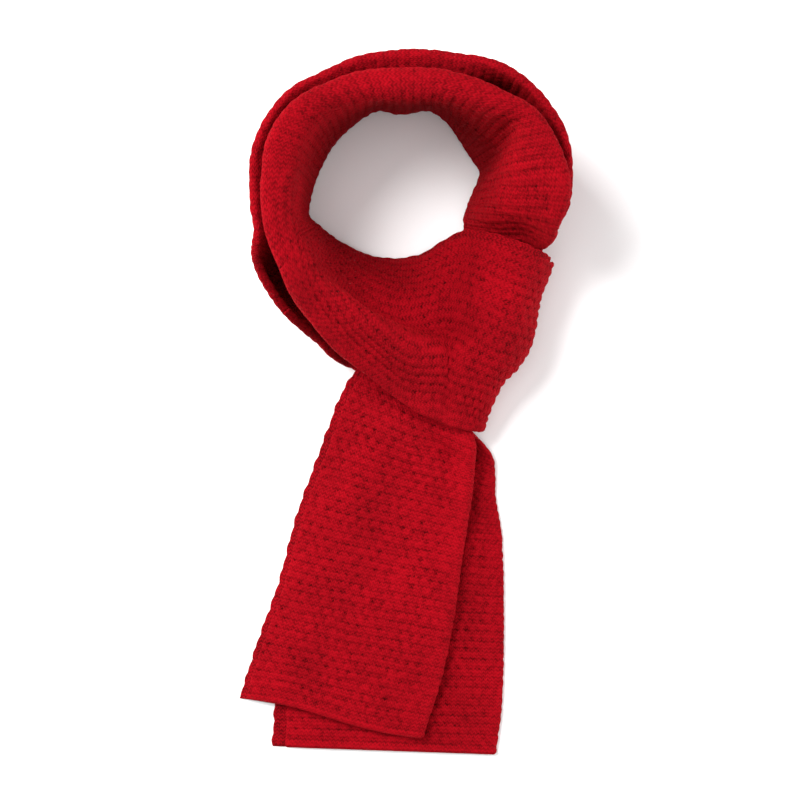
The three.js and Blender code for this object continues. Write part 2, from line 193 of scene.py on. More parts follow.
COLLAR_INNER = (
    Section(-59.3, 124.7, -0.4, 242, 43.5, 122, 148, 126, 1, 13, 5, 6),
    Section(-67, 132, -0.4, 218, 28.5, 130, 149, 131, 1, 12, 5, 6),
    Section(-65.2, 148, -0.4, 184, 25.5, 134, 150, 132, 1, 12, 5, 6),
    Section(-58.8, 166, -0.4, 172, 28.5, 134, 150, 132, 1, 12, 5, 6),
    Section(-48.5, 184.5, -0.4, 160, 25, 134, 150, 133, 1, 12, 5, 6),
    Section(-34, 199.5, -0.4, 138, 13.5, 134, 150, 134, 1, 12, 5.5, 6),
    Section(-17.5, 210, -0.4, 112, 6, 134, 150, 134, 1, 12, 6, 6),
    Section(1.3, 207.5, -0.4, 92, 9, 134, 150, 134, 1, 12, 6, 6),
    Section(21, 210, -0.4, 78, 6.5, 134, 150, 134, 1, 12, 6, 6),
    Section(34, 202, -0.4, 52, 13, 134, 150, 133, 1, 12, 5.5, 6),
    Section(43, 189, -0.4, 30, 27, 134, 150, 131, 1, 12, 5, 6),
    Section(48.5, 178, -0.4, 15, 42, 133, 149, 130, 1, 14, 4.6, 6),
    Section(51, 168, -0.4, 6, 50, 132, 148, 126, 1, 16, 4.2, 6),
    Section(55.2, 150, -0.4, -3, 55.5, 128, 146, 110, 1, 20, 3.8, 6),
    Section(53, 139, -0.4, -8, 59, 115, 138, 90, 1, 24, 3.4, 6),
    Section(47.5, 129.5, 1.5, -15, 61, 90, 116, 70, 1, 28, 3.2, 6),
    Section(43, 117, 10.5, -17, 55.5, 48, 69.5, 46, 1, 20, 3, 6),
    Section(31, 98, 15, -18, 61, 34, 66, 40, 1, 18, 3, 6),
)

TAIL_FRONT = (
    Section(12, 73, 15.2, -21, 72, 22, 74, 44, 1, 20, 3, 6),
    Section(-11, 46, 15.2, -23, 77, 17.4, 0, 48, 1, 20, 3, 6),
    Section(-32, 20.5, 15.2, -23, 90, 16.6, 0, 50, 1, 20, 3.2, 6),
    Section(-42.5, 3.6, 12, -21, 103, 15.4, 104, 50, 1, 20, 3.6, 6),
    Section(-51, -18, 8.4, -17.2, 109, 12, 109.6, 45, 1, 15, 4, 6),
    Section(-60.5, -43.5, 5.2, -14.1, 115, 11, 115.8, 26, 1, 12, 4.2, 6),
    Section(-75, -83.5, 3.4, -12.5, 123, 10.8, 124.2, 20, 1, 9, 4.4, 6),
    Section(-88, -131.8, 2.6, -11.2, 129, 10.8, 130.4, 24, 1, 10, 4.5, 6),
    Section(-102.5, -172.5, 2.5, -11, 135, 10.8, 136.4, 24, 1, 10, 4.5, 6),
    Section(-116, -214.5, 2.5, -11.5, 135, 10.8, 136.5, 24, 1, 10, 4.4, 6),
)

# The bight's turn at the right of the knot: how far out it reaches in plan, from the foot to the fold.
TURN_OUTLINE = (
    (106.2, 99),
    (102, 86.5),
    (97.2, 74),
    (94.4, 62),
    (92.6, 48),
    (88.6, 35),
    (81, 23.5),
    (71.5, 14),
    (64.5, 0),
    (59.5, -13),
    (57.4, -21.5),
)

CREASES = (
    Crease(Stretch.KNOT_FRONT, -34, 80, -38, 34, 9, -8),
    Crease(Stretch.KNOT_FRONT, 4, 58, -26, 34, 9, -10),
    Crease(Stretch.KNOT_FRONT, 46, 48, -12, 30, 9, -6),
    Crease(Stretch.KNOT_FRONT, -26, 62, -36, 30, 10, 3),
    Crease(Stretch.KNOT_FRONT, 14, 41, -26, 32, 11, 3.5),
    Crease(Stretch.KNOT_FRONT, 66, 66, -24, 30, 12, 3),
    Crease(Stretch.KNOT_FRONT, 22, 22, -28, 40, 12, 2.5),
    Crease(Stretch.COLLAR_INNER, 84, 114, -30, 16, 9, -5),
    Crease(Stretch.COLLAR_INNER, 60, 168, 40, 26, 9, -6),
    Crease(Stretch.COLLAR_INNER, 66, 146, 40, 26, 10, 5),
    Crease(Stretch.COLLAR_OUTER, -80, 178, -120, 30, 10, 2.5),
    Crease(Stretch.TAIL_FRONT, 52, -58, -96, 60, 11, 4.5),
    Crease(Stretch.TAIL_FRONT, 31, -33, -42, 22, 8, -2.5),
    Crease(Stretch.TAIL_FRONT, 52, -32, -50, 22, 8, 4),
    Crease(Stretch.TAIL_FRONT, 12, -36, -52, 30, 11, 5),
    Crease(Stretch.TAIL_FRONT, -30, -70, -104, 60, 16, 2.5),
    Crease(Stretch.TAIL_FRONT, 6, -150, -80, 70, 18, 2),
)

# How far the front tail's hem stands on from its straight line, foot to fold, and over what length it fades.
HEM_CURVE = (0.0, -2.4, -3.8, -3.6, -2.4, -0.6, 0.8, 1.6, 1.9, 1.2, 0.0)
HEM_CURVE_FADE = 55.0


def smooth(value: np.ndarray) -> np.ndarray:
    """Ease from 0 to 1 with a flat start and end."""
    x = np.clip(value, 0.0, 1.0)
    return x * x * (3.0 - 2.0 * x)


def mix(a: np.ndarray, b: np.ndarray, share: np.ndarray) -> np.ndarray:
    """Blend from a to b."""
    return a + (b - a) * share


def cosine_rule(a: float, b: float, opposite: float) -> float:
    """Cosine of the angle between sides a and b of a triangle."""
    return min(1.0, max(-1.0, (a * a + b * b - opposite * opposite) / (2.0 * a * b)))


def speckle(a: np.ndarray, b: np.ndarray) -> np.ndarray:
    """A fixed uneven value from 0 to 1 for each pair of whole numbers."""
    wild = np.sin(a * 127.1 + b * 311.7) * 43758.5453
    return wild - np.floor(wild)


@dataclass(frozen=True)
class Cloth:
    """The knit and how it is folded, in millimetres.

    Args:
        layer: thickness of one layer.
        gap: space between the two layers.
        cut_width: width of the strip before it is folded; not used.
        swell: how many fold radii before the fold the layers start to part.
    """

    layer: float = 2.2
    gap: float = 0.8
    cut_width: float = 300.0
    swell: float = 4.0

    @property
    def half_strip(self) -> float:
        """From the middle of the folded strip to its face."""
        return self.layer + self.gap / 2.0


@dataclass(frozen=True)
class Slice:
    """Rows of the laid strip, as arrays with one entry for each row.

    Args:
        points: the strip's middle surface, rows by steps by 3.
        width: cloth from foot to fold.
        fold: radius of the fold.
        inset: how far the first layer is set back.
    """

    points: np.ndarray
    width: np.ndarray
    fold: np.ndarray
    inset: np.ndarray


@dataclass
class LaidStrip:
    """The whole strip's middle surface, laid through the section tables.

    Args:
        cloth: the knit.
        step_along: distance between rows along the strip.
        steps_across: steps of cloth from foot to fold.
        turn_rows: rows round the bight's turn.
        crease_fade: length over which a crease fades at the end of its stretch.
    """

    cloth: Cloth = field(default_factory=Cloth)
    step_along: float = 1.45
    steps_across: int = 112
    turn_rows: int = 84
    crease_fade: float = 26.0

    def solve_profile(self, section: Section) -> tuple[np.ndarray, float]:
        """Lean of the cloth at even steps from foot to fold, so that the fold is met.

        Args:
            section: the section's sizes.

        Returns:
            The leans in radians, and the cloth from foot to fold.
        """
        rise = section.top - section.z
        chord = math.hypot(section.reach, rise)
        chord_angle = math.atan2(rise, section.reach)
        width = max(section.width, chord)
        lower = section.ridge
        upper = width - lower
        first = chord_angle + section.side * math.acos(cosine_rule(lower, chord, upper))
        last = chord_angle - section.side * math.acos(cosine_rule(upper, chord, lower))
        along = (np.arange(self.steps_across) + 0.5) / self.steps_across * width
        leans = mix(first, last, smooth((along - lower + section.soft) / (2.0 * section.soft)))
        step = width / self.steps_across
        out = step * np.cos(leans).sum()
        up = step * np.sin(leans).sum()
        return leans + chord_angle - math.atan2(up, out), width * chord / math.hypot(out, up)

    def numbers(self, section: Section) -> np.ndarray:
        """One section as numbers that can be blended with its neighbours."""
        leans, width = self.solve_profile(section)
        head = [section.x, section.y, section.z, math.radians(section.heading)]
        return np.concatenate([head, [width, section.fold, section.inset], leans])

    def place(self, numbers: np.ndarray) -> Slice:
        """Puts sections in space.

        Args:
            numbers: a row for each section.

        Returns:
            Their middle surface and sizes.
        """
        x, y, z, heading, width, fold, inset = numbers[:, :7].T
        leans = numbers[:, 7:]
        step = (width / self.steps_across)[:, None]
        start = np.zeros((len(numbers), 1))
        out = np.hstack([start, np.cumsum(step * np.cos(leans), axis=1)])
        rise = np.hstack([start, np.cumsum(step * np.sin(leans), axis=1)])
        across = [x[:, None] + out * np.cos(heading)[:, None], y[:, None] + out * np.sin(heading)[:, None]]
        return Slice(np.stack([*across, z[:, None] + rise], axis=2), width, fold, inset)

    def through(self, sections: tuple[Section, ...]) -> tuple[Slice, list[int]]:
        """Smooth rows through the sections.

        Args:
            sections: the table.

        Returns:
            The rows, and the index of the row at each section.
        """
        knots = np.array([self.numbers(section) for section in sections])
        middles = self.place(knots).points[:, self.steps_across // 2]
        at = np.concatenate([[0.0], np.cumsum(np.linalg.norm(np.diff(middles, axis=0), axis=1))])
        before = np.maximum(np.arange(len(knots)) - 1, 0)
        after = np.minimum(np.arange(len(knots)) + 1, len(knots) - 1)
        slope = (knots[after] - knots[before]) / (at[after] - at[before])[:, None]
        rows = []
        row_at = []
        count = 0
        for k in range(len(knots) - 1):
            span = at[k + 1] - at[k]
            steps = max(1, round(span / self.step_along))
            u = (np.arange(steps) / steps)[:, None]
            rest = 1.0 - u
            ends = knots[k] * (1 + 2 * u) * rest**2 + knots[k + 1] * u**2 * (3 - 2 * u)
            pulls = span * (slope[k] * u * rest**2 - slope[k + 1] * u**2 * rest)
            rows.append(ends + pulls)
            row_at.append(count)
            count += steps
        rows.append(knots[-1:])
        row_at.append(count)
        return self.place(np.concatenate(rows)), row_at

    def turn(self, lower: Slice, upper: Slice) -> Slice:
        """The bight's turn: each point goes out and over in half an ellipse.

        Args:
            lower: the lower band's last row.
            upper: the upper band's first row.

        Returns:
            The rows between them.
        """
        outline = np.array(TURN_OUTLINE)
        place = np.linspace(0, len(outline) - 1, self.steps_across + 1)
        reach = np.zeros((self.steps_across + 1, 3))
        tangent = np.gradient(outline, axis=0)
        cell = np.minimum(place.astype(int), len(outline) - 2)
        u = (place - cell)[:, None]
        rest = 1.0 - u
        ends = outline[cell] * (1 + 2 * u) * rest**2 + outline[cell + 1] * u**2 * (3 - 2 * u)
        reach[:, :2] = ends + tangent[cell] * u * rest**2 - tangent[cell + 1] * u**2 * rest
        middle = (lower.points[0] + upper.points[0]) / 2
        reach[:, :2] -= middle[:, :2]
        angle = np.pi * np.arange(1, self.turn_rows) / self.turn_rows
        share = (1 - np.cos(angle)) / 2
        wide = share[:, None, None]
        points = mix(lower.points, upper.points, wide) + reach * np.sin(angle)[:, None, None]
        return Slice(
            points,
            mix(lower.width, upper.width, share),
            mix(lower.fold, upper.fold, share),
            mix(lower.inset, upper.inset, share),
        )

    def lay(self) -> None:
        """Lays the whole strip: rows, where each stretch starts, and its creases."""
        back, back_at = self.through(TAIL_BACK + COLLAR_OUTER + KNOT_BACK)
        front, front_at = self.through(KNOT_FRONT + COLLAR_INNER + TAIL_FRONT)
        last = Slice(back.points[-1:], back.width[-1:], back.fold[-1:], back.inset[-1:])
        first = Slice(front.points[:1], front.width[:1], front.fold[:1], front.inset[:1])
        turn = self.turn(last, first)
        parts = (back, turn, front)
        self.points = np.concatenate([part.points for part in parts])
        self.width = np.concatenate([part.width for part in parts])
        self.fold = np.concatenate([part.fold for part in parts])
        self.inset = np.concatenate([part.inset for part in parts])
        front_start = len(back.width) + len(turn.width)
        self.starts = [
            0,
            back_at[len(TAIL_BACK)],
            back_at[len(TAIL_BACK) + len(COLLAR_OUTER)],
            len(back.width) - 1,
            front_start,
            front_start + front_at[len(KNOT_FRONT)],
            front_start + front_at[len(KNOT_FRONT) + len(COLLAR_INNER)],
            len(self.width) - 1,
        ]
        self.curve_hem()
        self.measure()
        self.crease()
        self.measure()
        log.info("strip: %d rows, %.0f mm long", len(self.width), self.along[-1])

    def curve_hem(self) -> None:
        """Bends the front tail's hem out of its straight line."""
        way = self.points[-1] - self.points[-8]
        way /= np.linalg.norm(way, axis=1, keepdims=True)
        middle = self.points[:, self.steps_across // 2]
        left = np.linalg.norm(middle - middle[-1], axis=1)
        left[: self.starts[-2]] = HEM_CURVE_FADE
        fade = smooth(1 - left / HEM_CURVE_FADE)
        share = np.linspace(0, len(HEM_CURVE) - 1, self.steps_across + 1)
        push = np.interp(share, np.arange(len(HEM_CURVE)), HEM_CURVE)
        self.points += fade[:, None, None] * push[None, :, None] * way[None]

    def measure(self) -> None:
        """Works out distance along the strip, and the way along, across and out of it at each point."""
        middle = self.points[:, self.steps_across // 2]
        steps = np.linalg.norm(np.diff(middle, axis=0), axis=1)
        self.along = np.concatenate([[0.0], np.cumsum(steps)])
        self.onward = self.unit(np.gradient(self.points, axis=0))
        self.outward = self.unit(np.gradient(self.points, axis=1))
        self.normal = self.unit(np.cross(self.onward, self.outward))

    @staticmethod
    def unit(vectors: np.ndarray) -> np.ndarray:
        """Vectors scaled to length 1."""
        return vectors / np.maximum(np.linalg.norm(vectors, axis=-1, keepdims=True), 1e-9)

    def crease(self) -> None:
        """Lifts the middle surface along its normal by the creases of each stretch."""
        lift = np.zeros(self.points.shape[:2])
        for stretch, start, end in zip(Stretch, self.starts, self.starts[1:]):
            rows = slice(start, end + 1)
            at = self.along[rows]
            fade = smooth((at - at[0]) / self.crease_fade) * smooth((at[-1] - at) / self.crease_fade)
            x, y = self.points[rows, :, 0], self.points[rows, :, 1]
            for crease in CREASES:
                if crease.stretch is not stretch:
                    continue
                bearing = math.radians(crease.bearing)
                dx, dy = x - crease.x, y - crease.y
                down = (dx * math.cos(bearing) + dy * math.sin(bearing)) / crease.length
                over = (dy * math.cos(bearing) - dx * math.sin(bearing)) / crease.breadth
                lift[rows] += crease.height * np.exp(-(down**2) - over**2) * fade[:, None]
        self.points += lift[:, :, None] * self.normal

    def pick(self, values: np.ndarray, rows: np.ndarray, distance: np.ndarray) -> np.ndarray:
        """Values at a distance from the foot.

        Args:
            values: an array with rows by steps by 3.
            rows: row numbers.
            distance: for each of those rows, distances across from the foot.

        Returns:
            The values there.
        """
        place = np.clip(distance / self.width[rows][:, None], 0, 1) * self.steps_across
        cell = np.minimum(place.astype(int), self.steps_across - 1)
        share = (place - cell)[:, :, None]
        row = rows[:, None]
        return values[row, cell] * (1 - share) + values[row, cell + 1] * share


@dataclass(frozen=True)
class KnitRelief:
    """The raised basket stitch, in millimetres.

    Args:
        row: distance between the dark stitch rows.
        brick: length of one stitch block along a row.
        dash_depth: depth of the dark dash between two rows.
        gap_depth: depth of the gap between two blocks.
        pillow: how far a block swells.
        dash_width, gap_width: half widths of the two.
    """

    row: float = 6.8
    brick: float = 7.8
    dash_depth: float = 1.3
    gap_depth: float = 0.95
    pillow: float = 0.6
    dash_width: float = 1.45
    gap_width: float = 1.25

    def blocks(self, up: np.ndarray, over: np.ndarray) -> np.ndarray:
        """Height of the blocks.

        Args:
            up: distance square to the rows.
            over: distance along the rows.

        Returns:
            Millimetres above the plain face.
        """
        up = up + 0.8 * np.sin(over / 17.0 + 0.7) + 0.5 * np.sin(over / 7.3 + up / 31.0)
        over = over + 1.1 * np.sin(up / 13.0) + 0.7 * np.sin(up / 5.1 + over / 23.0)
        row = np.floor(up / self.row)
        line = np.round(up / self.row)
        to_line = np.abs(up / self.row - line) * self.row
        turn = over / self.brick + 0.5 * np.mod(line, 2)
        strength = speckle(line, np.round(turn))
        dash = smooth(0.5 + 0.75 * np.cos(2 * np.pi * turn)) * (0.35 + 0.65 * strength)
        groove = np.exp(-((to_line / self.dash_width) ** 2)) * (0.18 + 0.82 * dash)
        shifted = over / self.brick + 0.5 * np.mod(row, 2)
        to_gap = np.abs(shifted - np.round(shifted)) * self.brick
        gap = np.exp(-((to_gap / self.gap_width) ** 2)) * (0.3 + 0.7 * speckle(row + 9, np.round(shifted)))
        middle = np.clip(1 - (to_line / self.row * 2 - 1) ** 2, 0, 1)
        swell = self.pillow * middle * (0.4 + speckle(row, np.floor(shifted) + 5))
        return swell - self.dash_depth * groove - self.gap_depth * gap

    def height(self, cut: np.ndarray, along: np.ndarray, lengthwise: np.ndarray) -> np.ndarray:
        """Height of the knit at places on the flat cloth.

        Args:
            cut: distance across the cut strip.
            along: distance along it.
            lengthwise: 1 where the rows show along the strip, 0 where they show across it.

        Returns:
            Millimetres above the plain face.
        """
        return mix(self.blocks(along, cut), self.blocks(cut, along), lengthwise)


@dataclass(frozen=True)
class Hem:
    """The cast-on and bind-off edges and the selvedges, in millimetres.

    Args:
        lip: how far the rolled edge swells.
        lip_at, lip_width: where the roll is and its half width.
        groove: depth of the line above the roll.
        groove_at, groove_width: where it is and its half width.
        rib: distance between the fine ribs of the hem.
        lobe: distance between the selvedge's lobes.
        lobe_reach: how far a lobe reaches past the cloth.
    """

    lip: float = 0.9
    lip_at: float = 2.2
    lip_width: float = 1.7
    groove: float = 0.9
    groove_at: float = 5.2
    groove_width: float = 0.9
    rib: float = 2.3
    lobe: float = 9.8
    lobe_reach: float = 0.9

    def height(self, inward: np.ndarray, cut: np.ndarray) -> np.ndarray:
        """Relief at a distance in from the hem's edge.

        Args:
            inward: distance from the edge.
            cut: distance across the strip.

        Returns:
            Millimetres above the plain face.
        """
        ribs = 0.22 * np.cos(2 * np.pi * cut / self.rib) * np.exp(-((inward / 4.0) ** 2))
        roll = self.lip * np.exp(-(((inward - self.lip_at) / self.lip_width) ** 2))
        line = self.groove * np.exp(-(((inward - self.groove_at) / self.groove_width) ** 2))
        return roll - line + ribs

    def selvedge(self, along: np.ndarray) -> np.ndarray:
        """How far the selvedge's lobes reach out at a distance along the strip."""
        wave = np.abs(np.sin(np.pi * along / self.lobe + 0.6 * np.sin(along / 37.0)))
        return self.lobe_reach * (wave - 0.45) + 0.35 * np.sin(along / 3.1)


@dataclass(frozen=True)
class PieceSpec:
    """One piece of the laid cloth: a stretch, or the bight's three, which are gathered as one.

    Args:
        name: the piece's name.
        stretches: its stretches, in order along the strip.
        lie: how it is held; not used.
        rests_on: what is under it; not used.
    """

    name: str
    stretches: tuple[Stretch, ...]
    lie: Lie
    rests_on: tuple[str, ...]


KNOT = (Stretch.KNOT_BACK, Stretch.KNOT_TURN, Stretch.KNOT_FRONT)
PIECES = (
    PieceSpec("tail_back_knit", (Stretch.TAIL_BACK,), Lie.LAID, ("floor",)),
    PieceSpec("collar_outer_knit", (Stretch.COLLAR_OUTER,), Lie.FOLDED, ("floor",)),
    PieceSpec("knot_knit", KNOT, Lie.FOLDED, ("floor", "tail_front", "tail_back")),
    PieceSpec("collar_inner_knit", (Stretch.COLLAR_INNER,), Lie.FOLDED, ("floor",)),
    PieceSpec("tail_front_knit", (Stretch.TAIL_FRONT,), Lie.LAID, ("tail_back", "floor")),
)


@dataclass
class StretchBuilder:
    """Builds one stretch as a closed shell of two layers joined at the fold.

    Args:
        strip: the laid strip.
        relief: the raised stitch.
        hem: the edges.
        face_columns: columns on each face of the folded strip.
        fold_columns: columns round the fold.
        inner_columns: columns on each layer's hidden face.
        edge_angles: where the selvedge's rounding has its points, in degrees.
        direction_fade: length over which the stitch rows turn from across the strip to along it.
        fold_relief: share of the stitch's relief that is left where the cloth is pulled round the fold.
        fold_relief_fade: how far from the fold the relief is whole again.
        selvedge_fade, hem_fade: the same from the selvedge and from the hem.
        lining_angles: where the hidden face has its points round the fold, in degrees.
        lining_shade_depth: depth in the stitch that the hidden faces are given, so that the material paints them
            in shade.
    """

    strip: LaidStrip
    relief: KnitRelief = field(default_factory=KnitRelief)
    hem: Hem = field(default_factory=Hem)
    face_columns: int = 100
    fold_columns: int = 8
    inner_columns: int = 15
    edge_angles: tuple[float, ...] = (55.0, 18.0, -18.0, -55.0)
    direction_fade: float = 60.0
    fold_relief: float = 0.4
    fold_relief_fade: float = 14.0
    selvedge_fade: float = 3.0
    hem_fade: float = 7.0
    lining_angles: tuple[float, ...] = (135.0, 90.0, 45.0)
    lining_shade_depth: float = -0.6

    def lengthwise(self) -> np.ndarray:
        """For each row of the strip, 1 where the stitch rows show along it and 0 elsewhere."""
        at = self.strip.along
        first = at[self.strip.starts[3]]
        last = at[self.strip.starts[5]]
        return smooth((at - first) / self.direction_fade + 1) * smooth((last - at) / self.direction_fade + 1)

    def outer_offset(self, rows: np.ndarray, distance: np.ndarray) -> np.ndarray:
        """From the middle of the strip to its plain face, at distances from the foot."""
        fold = self.strip.fold[rows][:, None]
        to_centre = self.strip.width[rows][:, None] - fold
        swell = self.strip.cloth.swell * fold
        return mix(self.strip.cloth.half_strip, fold, smooth((distance - to_centre + swell) / swell))

    def near_edges(self, from_foot: np.ndarray, from_fold: np.ndarray) -> np.ndarray:
        """Share of the stitch's relief near the selvedge and the fold.

        Args:
            from_foot: distance from the selvedge.
            from_fold: distance from the fold.

        Returns:
            1 on the open face, 0 at the selvedge and fold_relief at the fold.
        """
        at_fold = mix(self.fold_relief, 1.0, smooth(from_fold / self.fold_relief_fade))
        return smooth(from_foot / self.selvedge_fade) * at_fold

    def rings(self, rows: np.ndarray) -> tuple[np.ndarray, np.ndarray, np.ndarray, int]:
        """Points round the strip at each row.

        Args:
            rows: row numbers.

        Returns:
            The points, their places on the flat cloth, how deep each lies in the stitch, and how many of
            them are on the outer skin.
        """
        strip = self.strip
        cloth = strip.cloth
        at = strip.along[rows][:, None]
        fold = strip.fold[rows][:, None]
        to_centre = strip.width[rows][:, None] - fold
        lobes = self.hem.selvedge(at)
        edges = {side: np.maximum(0.0, side * strip.inset[rows][:, None]) - lobes for side in (1, -1)}
        grain = self.lengthwise()[rows][:, None]
        to_hem = np.minimum(at - strip.along[0], strip.along[-1] - at)
        taper = np.sqrt(np.clip(1 - np.clip(1 - to_hem / (cloth.layer / 2), 0, 1) ** 2, 0.02, 1))
        cut_total = 2 * to_centre + np.pi * fold

        def relief(cut: np.ndarray) -> np.ndarray:
            """Height of the knit and of the hem's edge.

            Args:
                cut: distance across the cut strip.

            Returns:
                Millimetres above the plain face.
            """
            near_hem = np.exp(-((to_hem / self.hem_fade) ** 2))
            plain = self.relief.height(cut, at + 0 * cut, grain) * (1 - near_hem)
            return plain + self.hem.height(to_hem, cut) * smooth(to_hem / 0.8)

        def skin(side: int, distance: np.ndarray, depth: np.ndarray) -> np.ndarray:
            """Points on one layer.

            Args:
                side: 1 or -1 for the layer.
                distance: from the foot.
                depth: out of the strip's middle.

            Returns:
                The points.
            """
            normal = strip.pick(strip.normal, rows, distance)
            point = strip.pick(strip.points, rows, distance)
            over = np.minimum(distance, 0.0)[:, :, None]
            point = point + over * strip.pick(strip.outward, rows, np.zeros_like(distance))
            return point + side * depth[:, :, None] * normal

        def layer_offset(distance: np.ndarray, through: np.ndarray) -> np.ndarray:
            """How far out a point of a layer lies, at a height above the layer's own middle."""
            centre = self.outer_offset(rows, distance) - cloth.layer / 2
            return centre + taper * through

        radius = cloth.layer / 2
        pieces = []
        places = []
        depths = []

        def add(points: np.ndarray, cut: np.ndarray, depth: np.ndarray) -> None:
            """Keeps a run of points.

            Args:
                points: the points.
                cut: their distances across the cut strip.
                depth: their depths in the stitch.
            """
            pieces.append(points)
            places.append(np.stack([cut + 0 * points[:, :, 0], at + 0 * points[:, :, 0]], axis=2))
            depths.append(depth + 0 * points[:, :, 0])

        def face(side: int) -> tuple[np.ndarray, np.ndarray]:
            """Distances from the foot, and across the cut strip, of one face's columns."""
            share = np.linspace(0, 1, self.face_columns)[None]
            distance = mix(edges[side] + radius, to_centre, share)
            return distance, distance if side > 0 else cut_total - distance

        angles = np.pi * np.arange(1, self.fold_columns + 1)[None] / (self.fold_columns + 1)
        distance, cut = face(1)
        height = relief(cut) * self.near_edges(distance - edges[1], to_centre - distance)
        add(skin(1, distance, layer_offset(distance, radius + height)), cut, height)

        fold_cut = to_centre + angles * fold
        height = relief(fold_cut) * self.fold_relief
        centre = strip.pick(strip.points, rows, to_centre)
        outward = strip.pick(strip.outward, rows, to_centre)
        normal = strip.pick(strip.normal, rows, to_centre)
        reach = (fold - radius + taper * (radius + height))[:, :, None]
        sine, cosine = np.sin(angles)[:, :, None], np.cos(angles)[:, :, None]
        add(centre + reach * (sine * outward + cosine * normal), fold_cut, height)

        distance, cut = face(-1)
        height = relief(cut) * self.near_edges(distance - edges[-1], to_centre - distance)
        points = skin(-1, distance, layer_offset(distance, radius + height))
        add(points[:, ::-1], cut[:, ::-1], height[:, ::-1])
        outer = sum(piece.shape[1] for piece in pieces)

        def edge(side: int) -> None:
            """Adds the rounding of one layer's selvedge.

            Args:
                side: 1 or -1 for the layer.
            """
            bend = np.radians(np.array(self.edge_angles))[None]
            distance = edges[side] + radius * (1 - np.cos(bend))
            points = skin(side, distance, layer_offset(distance, radius * np.sin(bend)))
            cut = distance if side > 0 else cut_total - distance
            order = slice(None) if side < 0 else slice(None, None, -1)
            add(points[:, order], cut[:, order], np.zeros_like(distance))

        def lining(side: int) -> None:
            """Adds one layer's hidden face.

            Args:
                side: 1 or -1 for the layer.
            """
            share = np.linspace(0, 1, self.inner_columns)[None]
            distance = mix(edges[side] + radius, to_centre, share)
            points = skin(side, distance, layer_offset(distance, -radius))
            cut = distance if side > 0 else cut_total - distance
            order = slice(None) if side < 0 else slice(None, None, -1)
            # The hidden faces are given the lining depth, so the material paints them in shade.
            add(points[:, order], cut[:, order], np.full_like(distance, self.lining_shade_depth))

        edge(-1)
        lining(-1)
        bend = np.radians(np.array(self.lining_angles))[None]
        reach = np.maximum(fold - radius - taper * radius, 0.3)[:, :, None]
        sine, cosine = np.sin(bend)[:, :, None], np.cos(bend)[:, :, None]
        round_fold = centre + reach * (sine * outward + cosine * normal)
        # The fold's hidden face is given the same depth, for the same painted shade.
        add(round_fold, to_centre + bend * fold, np.full_like(bend, self.lining_shade_depth))
        lining(1)
        edge(1)
        points = np.concatenate(pieces, axis=1)
        points[:, :, 2] = np.maximum(points[:, :, 2], 0.0)
        return points, np.concatenate(places, axis=1), np.concatenate(depths, axis=1), outer

    def end_faces(self, ring: np.ndarray, outer: int) -> list[tuple[int, int, int]]:
        """Triangles that close an end, zipped between the outer skin and the hidden one.

        Args:
            ring: the end's vertex numbers.
            outer: how many of them are on the outer skin.

        Returns:
            The triangles.
        """
        one = list(ring[:outer])
        other = list(ring[outer:])[::-1]
        faces = []
        i = j = 0
        while i + 1 < len(one) or j + 1 < len(other):
            ahead = (i + 1) / len(one)
            behind = (j + 1) / len(other)
            if j + 1 >= len(other) or (i + 1 < len(one) and ahead <= behind):
                faces.append((one[i], one[i + 1], other[j]))
                i += 1
            else:
                faces.append((one[i], other[j + 1], other[j]))
                j += 1
        return faces

    def build(self, spec: PieceSpec, material: bpy.types.Material) -> bpy.types.Object:
        """Builds one piece, attaches it to the root and hides its stretches' solids.

        Args:
            spec: which stretches it has and how it lies.
            material: its finish.

        Returns:
            The finished piece.
        """
        strip = self.strip
        order = list(Stretch)
        start = strip.starts[order.index(spec.stretches[0])]
        end = strip.starts[order.index(spec.stretches[-1]) + 1]
        rows = np.arange(start, end + 1)
        points, places, depths, outer = self.rings(rows)
        count, size = points.shape[:2]
        vertices = (points.reshape(-1, 3) - np.array(CENTRE)) * MM
        ring = np.arange(size)
        ahead = np.roll(ring, -1)
        base = (np.arange(count - 1) * size)[:, None]
        quads = np.stack([base + ring, base + size + ring, base + size + ahead, base + ahead], axis=2)
        first = self.end_faces(ring, outer)
        last = self.end_faces(ring + (count - 1) * size, outer)
        faces = quads.reshape(-1, 4).tolist() + first + [face[::-1] for face in last]
        mesh = bpy.data.meshes.new(spec.name)
        mesh.from_pydata(vertices.tolist(), [], faces)
        mesh.validate()
        self.lay_flat(mesh, places.reshape(-1, 2) * MM, depths.reshape(-1))
        piece = bpy.data.objects.new(spec.name, mesh)
        bpy.context.scene.collection.objects.link(piece)
        mesh.materials.append(material)
        mesh.shade_smooth()
        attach(piece, "root")
        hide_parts(*(stretch.value for stretch in spec.stretches))
        return piece

    @staticmethod
    def lay_flat(mesh: bpy.types.Mesh, places: np.ndarray, depths: np.ndarray) -> None:
        """Writes each point's place on the flat cloth as the UV map, and its stitch depth as an attribute that
        the material paints shade from.

        Args:
            mesh: the stretch's mesh.
            places: place across and along the flat strip for each point, in metres.
            depths: height above the plain face for each point, in millimetres.
        """
        corners = np.empty(len(mesh.loops), dtype=np.int32)
        mesh.loops.foreach_get("vertex_index", corners)
        layer = mesh.uv_layers.new(name="flat_cloth")
        layer.data.foreach_set("uv", places[corners].astype(np.float32).ravel())
        # The stitch depth that the material turns into painted shade, in the gaps and on the hidden faces.
        stored = mesh.attributes.new("stitch_shade_height", "FLOAT", "POINT")
        stored.data.foreach_set("value", depths.astype(np.float32))


def linear(hex_colour: str) -> tuple[float, float, float, float]:
    """An sRGB hex colour as linear red, green, blue and alpha."""
    channels = [int(hex_colour[i : i + 2], 16) / 255 for i in (1, 3, 5)]
    turned = [c / 12.92 if c <= 0.04045 else ((c + 0.055) / 1.055) ** 2.4 for c in channels]
    return (*turned, 1.0)


